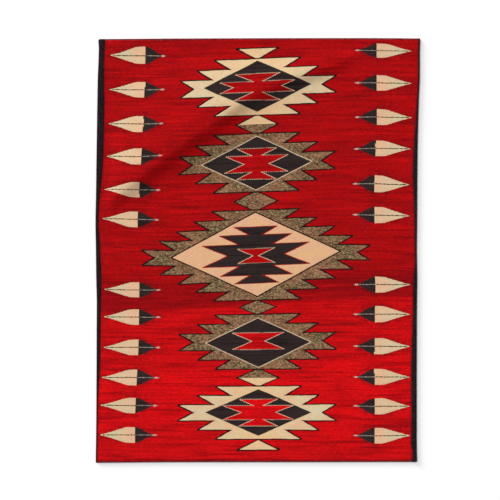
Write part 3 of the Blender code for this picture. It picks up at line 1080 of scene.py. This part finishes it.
# Overcast stitches: one bowed stitch at each step along the path, each turned a little its own way.
def makeStitchTree():
    tree, given = startGroup(
        "overcastStitches",
        [("Geometry", "Geometry", None), ("Pitch", "Float", 0.009), ("Length", "Float", 0.006),
         ("Radius", "Float", 0.0006), ("Slant", "Float", 0.35), ("Jitter", "Float", 0.2), ("Seed", "Int", 0),
         ("Material", "Material", None)],
        [("Geometry", "Geometry")],
        "GeometryNodeTree",
    )
    spaced = addNode(tree, "GeometryNodeResampleCurve",
                     {"Curve": given["Geometry"], "Length": given["Pitch"]}, mode="LENGTH")
    half = given["Length"] * 0.5
    bow = addNode(tree, "GeometryNodeCurveQuadraticBezier", {
        "Resolution": 7, "Start": vectorOf(tree, half * -1.0, 0.0, given["Radius"] * -1.2),
        "Middle": vectorOf(tree, 0.0, 0.0, given["Radius"] * 1.6),
        "End": vectorOf(tree, half, 0.0, given["Radius"] * -1.2)})
    ring = addNode(tree, "GeometryNodeCurvePrimitiveCircle", {"Resolution": 6, "Radius": given["Radius"]})
    factor = addNode(tree, "GeometryNodeSplineParameter").outputs["Factor"]
    offCenter = Wire(tree, factor) * 2.0 - 1.0
    girth = 1.0 - offCenter * offCenter * 0.45
    fat = addNode(tree, "GeometryNodeSetCurveRadius", {"Curve": bow.outputs[0], "Radius": girth})
    body = addNode(tree, "GeometryNodeCurveToMesh",
                   {"Curve": fat.outputs[0], "Profile Curve": ring.outputs[0], "Fill Caps": True})
    if "Scale" in body.inputs:
        feed(tree, body.inputs["Scale"], girth)
    turn = addNode(tree, "FunctionNodeRandomValue", data_type="FLOAT")
    sockets = {socket.identifier: socket for socket in turn.inputs}
    feed(tree, sockets["Min_001"], given["Slant"] - given["Jitter"])
    feed(tree, sockets["Max_001"], given["Slant"] + given["Jitter"])
    feed(tree, turn.inputs["Seed"], given["Seed"])
    angle = [socket for socket in turn.outputs if socket.enabled][0]
    placed = addNode(tree, "GeometryNodeInstanceOnPoints", {
        "Points": spaced.outputs[0], "Instance": body.outputs[0],
        "Rotation": vectorOf(tree, 0.0, 0.0, angle)})
    return endGeometry(tree, placed.outputs[0], given["Material"])


# Two-ply cord: two strands wound round the path.
def makeCordTree():
    tree, given = startGroup(
        "twoPlyCord",
        [("Geometry", "Geometry", None), ("Lay", "Float", 0.014), ("Strand Radius", "Float", 0.0011),
         ("Step", "Float", 0.0018), ("Material", "Material", None)],
        [("Geometry", "Geometry")],
        "GeometryNodeTree",
    )
    spaced = addNode(tree, "GeometryNodeResampleCurve", {"Curve": given["Geometry"], "Length": given["Step"]},
                     mode="LENGTH")
    run = Wire(tree, addNode(tree, "GeometryNodeSplineParameter").outputs["Length"])
    strands = addNode(tree, "GeometryNodeJoinGeometry")
    for phase in (0.0, math.pi):
        angle = run / given["Lay"] * (2 * math.pi) + phase
        offset = vectorOf(tree, 0.0, calc(tree, "COSINE", angle) * given["Strand Radius"],
                          calc(tree, "SINE", angle) * given["Strand Radius"])
        wound = addNode(tree, "GeometryNodeSetPosition", {"Geometry": spaced.outputs[0], "Offset": offset})
        tree.links.new(wound.outputs[0], strands.inputs[0])
    ring = addNode(tree, "GeometryNodeCurvePrimitiveCircle",
                   {"Resolution": 8, "Radius": given["Strand Radius"]})
    body = addNode(tree, "GeometryNodeCurveToMesh",
                   {"Curve": strands.outputs[0], "Profile Curve": ring.outputs[0], "Fill Caps": True})
    return endGeometry(tree, body.outputs[0], given["Material"])


stitchTree = makeStitchTree()
cordTree = makeCordTree()


def makeStitches(name, path, side, settings):
    return applyTree(polyLine(name + "Path", path), stitchTree, {
        "Pitch": settings["stitchPitch"], "Length": settings["stitchLength"],
        "Radius": settings["stitchRadius"], "Slant": 0.45 * side, "Jitter": 0.22, "Seed": settings["seed"],
        "Material": stitchWool}, name)


leftBinding, leftPath = makeBinding("leftBinding", "left_side_binding", -1, bindingSettings)
rightBinding, rightPath = makeBinding("rightBinding", "right_side_binding", 1, bindingSettings)
leftStitches = makeStitches("leftStitches", leftPath, -1, bindingSettings)
rightStitches = makeStitches("rightStitches", rightPath, 1, bindingSettings)
print("bindings sewn on")

cordSettings = {"radius": 0.0022, "lay": 0.0125, "step": 0.0018, "endGap": 0.0004, "pathStep": 0.02}


def makeEndCord(name, node, settings):
    low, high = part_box(node)
    points = nodePoints(node)
    stations = np.unique(np.round(points[:, 0], 4))
    middles = [(x, points[np.abs(points[:, 0] - x) < 2e-4][:, 1]) for x in stations]
    centers = np.array([(x, (ys.min() + ys.max()) / 2) for x, ys in middles])
    count = int((high.x - low.x) / settings["pathStep"])
    xs = np.linspace(low.x + settings["endGap"], high.x - settings["endGap"], count)
    path = [(float(x), float(np.interp(x, centers[:, 0], centers[:, 1])), settings["radius"]) for x in xs]
    return applyTree(polyLine(name + "Path", path), cordTree, {
        "Lay": settings["lay"], "Strand Radius": settings["radius"] / 2, "Step": settings["step"],
        "Material": cordWool}, name)


topCord = makeEndCord("topCord", "top_end_cord", cordSettings)
bottomCord = makeEndCord("bottomCord", "bottom_end_cord", cordSettings)
print("end cords twisted")

# What each piece stands for
stands = [
    (cloth, "woven_wool", ["woven_field"]),
    (leftBinding, "binding_wool", ["left_side_binding"]),
    (rightBinding, "binding_wool", ["right_side_binding"]),
    (leftStitches, "binding_wool", []),
    (rightStitches, "binding_wool", []),
    (topCord, "cord_wool", ["top_end_cord"]),
    (bottomCord, "cord_wool", ["bottom_end_cord"]),
]
for piece, slotName, nodes in stands:
    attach(piece, "root")
    if nodes:
        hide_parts(*nodes)

floorSettings = {"size": 40.0, "color": "f4f4f4"}


def makeFloor(settings):
    half = settings["size"] / 2
    data = bpy.data.meshes.new("floor")
    data.from_pydata([(-half, -half, 0.0), (half, -half, 0.0), (half, half, 0.0), (-half, half, 0.0)], [],
                     [(0, 1, 2, 3)])
    material = bpy.data.materials.new("paleFloor")
    material.use_nodes = True
    shader = material.node_tree.nodes["Principled BSDF"]
    shader.inputs["Base Color"].default_value = dye(settings["color"])
    shader.inputs["Roughness"].default_value = 1.0
    shader.inputs["Specular IOR Level"].default_value = 0.0
    data.materials.append(material)
    return addObject("floor", data)


floor = makeFloor(floorSettings)
